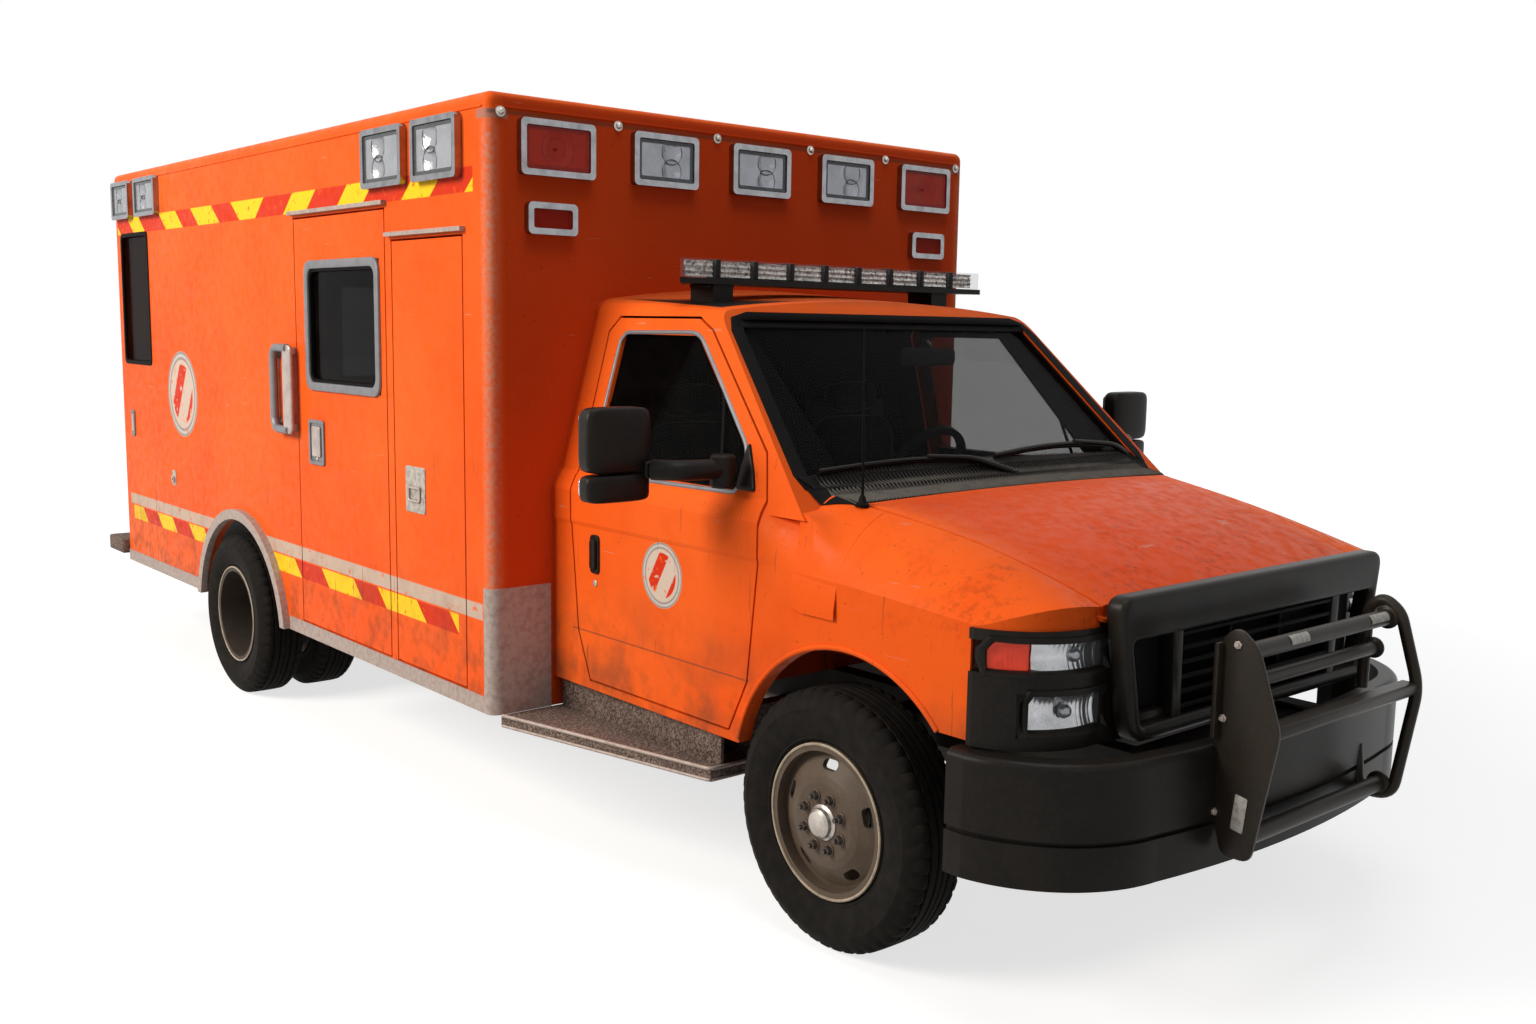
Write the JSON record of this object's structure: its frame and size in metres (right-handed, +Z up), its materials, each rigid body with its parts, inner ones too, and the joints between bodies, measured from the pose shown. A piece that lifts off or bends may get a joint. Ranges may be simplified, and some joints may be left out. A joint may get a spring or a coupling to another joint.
{
  "type": "box body ambulance",
  "caption": "Box-bodied ambulance on a van cab chassis, with opening cab, side, locker and rear doors, hood, steered front wheels and twin rear wheels.",
  "frame": {"origin": "on the ground in the middle of the vehicle's length and width", "axes": "the vehicle faces -Y, +X is its left side, +Z is up"},
  "size_m": [2.824, 7.13, 2.65],
  "materials": {
    "orange_paint": "weathered orange gloss paint with scratches and grime",
    "black_plastic": "black grained plastic, faded",
    "black_steel": "black painted steel, worn",
    "dark_glass": "lightly tinted glass",
    "clear_lens": "clear fluted lens",
    "red_lens": "red lens",
    "chrome_trim": "bright plated trim",
    "worn_aluminium": "worn bare aluminium",
    "chassis_black": "black chassis paint, dusty",
    "cast_metal": "bare cast metal, oily",
    "wheel_steel": "beige painted steel, dusty",
    "tyre_rubber": "worn black tread rubber",
    "white_laminate": "pale laminate",
    "grey_floor": "grey sealed floor",
    "dark_trim": "dark grey grained trim",
    "seat_cloth": "dark grey cloth",
    "step_plate": "gritty worn step plate"
  },
  "bodies": {
    "vehicle": {"cab_shell": "orange_paint", "cowl": "black_plastic", "headlamp_bezels": "black_plastic", "headlamp_lenses": "clear_lens", "grille": "black_plastic", "bumper": "black_plastic", "ladder_frame": "chassis_black", "engine_block": "cast_metal", "fuel_tank": "dark_trim", "exhaust": "worn_aluminium", "front_axle": "chassis_black", "rear_axle": "chassis_black", "module_body": "orange_paint", "module_floor": "grey_floor", "cabinets": "white_laminate", "fixed_windows": "dark_glass", "lamp_bezels": "chrome_trim", "red_lamps": "red_lens", "clear_lamps": "clear_lens", "body_trim": "worn_aluminium", "steps": "step_plate", "light_bar": "black_plastic", "light_bar_lenses": "clear_lens", "push_bar": "black_steel", "dashboard": "dark_trim", "steering_wheel": "dark_trim", "seats": "seat_cloth"},
    "knuckle_right": {"knuckle_right": "cast_metal"},
    "wheel_front_right": {"front_rim_right": "wheel_steel", "front_tyre_right": "tyre_rubber"},
    "wheels_rear_right": {"rear_rims_right": "wheel_steel", "rear_tyres_right": "tyre_rubber"},
    "door_cab_right": {"cab_door_right": "orange_paint", "cab_door_glass_right": "dark_glass", "mirror_right": "black_plastic"},
    "door_rear_right": {"rear_door_right": "orange_paint", "rear_door_glass_right": "dark_glass"},
    "door_compartment_right": {"compartment_door_right": "orange_paint"},
    "knuckle_left": {"knuckle_left": "cast_metal"},
    "wheel_front_left": {"front_rim_left": "wheel_steel", "front_tyre_left": "tyre_rubber"},
    "wheels_rear_left": {"rear_rims_left": "wheel_steel", "rear_tyres_left": "tyre_rubber"},
    "door_cab_left": {"cab_door_left": "orange_paint", "cab_door_glass_left": "dark_glass", "mirror_left": "black_plastic"},
    "door_rear_left": {"rear_door_left": "orange_paint", "rear_door_glass_left": "dark_glass"},
    "door_compartment_left": {"compartment_door_left": "orange_paint"},
    "door_entry": {"entry_door": "orange_paint", "entry_door_glass": "dark_glass"},
    "hood": {"hood": "orange_paint"}
  },
  "joints": [
    {"name": "steer_right", "type": "hinge", "parent": "vehicle", "child": "knuckle_right", "pos_m": [-0.735, -2.43, 0.3985], "axis": [0, 0, 1], "range_deg": [-30, 30]},
    {"name": "spin_front_right", "type": "hinge", "parent": "knuckle_right", "child": "wheel_front_right", "pos_m": [-0.845, -2.43, 0.3985], "axis": [1, 0, 0], "continuous": true},
    {"name": "spin_rear_right", "type": "hinge", "parent": "vehicle", "child": "wheels_rear_right", "pos_m": [-0.9885, 1.555, 0.3985], "axis": [1, 0, 0], "continuous": true},
    {"name": "open_cab_door_right", "type": "hinge", "parent": "vehicle", "child": "door_cab_right", "pos_m": [-0.967, -2.136, 0.9], "axis": [0, 0, 1], "range_deg": [0, 68]},
    {"name": "open_compartment_right", "type": "hinge", "parent": "vehicle", "child": "door_compartment_right", "pos_m": [-1.22, -0.779, 1.3], "axis": [0, 0, 1], "range_deg": [0, 100]},
    {"name": "open_rear_door_right", "type": "hinge", "parent": "vehicle", "child": "door_rear_right", "pos_m": [-0.644, 3.295, 1.5], "axis": [0, 0, 1], "range_deg": [0, 110]},
    {"name": "steer_left", "type": "hinge", "parent": "vehicle", "child": "knuckle_left", "pos_m": [0.735, -2.43, 0.3985], "axis": [0, 0, 1], "range_deg": [-30, 30]},
    {"name": "spin_front_left", "type": "hinge", "parent": "knuckle_left", "child": "wheel_front_left", "pos_m": [0.845, -2.43, 0.3985], "axis": [1, 0, 0], "continuous": true},
    {"name": "spin_rear_left", "type": "hinge", "parent": "vehicle", "child": "wheels_rear_left", "pos_m": [0.9885, 1.555, 0.3985], "axis": [1, 0, 0], "continuous": true},
    {"name": "open_cab_door_left", "type": "hinge", "parent": "vehicle", "child": "door_cab_left", "pos_m": [0.967, -2.136, 0.9], "axis": [0, 0, -1], "range_deg": [0, 68]},
    {"name": "open_compartment_left", "type": "hinge", "parent": "vehicle", "child": "door_compartment_left", "pos_m": [1.22, -0.779, 1.3], "axis": [0, 0, -1], "range_deg": [0, 100]},
    {"name": "open_rear_door_left", "type": "hinge", "parent": "vehicle", "child": "door_rear_left", "pos_m": [0.644, 3.295, 1.5], "axis": [0, 0, -1], "range_deg": [0, 110]},
    {"name": "open_entry_door", "type": "hinge", "parent": "vehicle", "child": "door_entry", "pos_m": [-1.22, -0.157, 1.4], "axis": [0, 0, 1], "range_deg": [0, 100]},
    {"name": "open_hood", "type": "hinge", "parent": "vehicle", "child": "hood", "pos_m": [0, -2.398, 1.358], "axis": [-1, 0, 0], "range_deg": [0, 55]}
  ],
  "couplings": [
    {"joint": "steer_left", "follows": "steer_right", "ratio": 1}
  ]
}
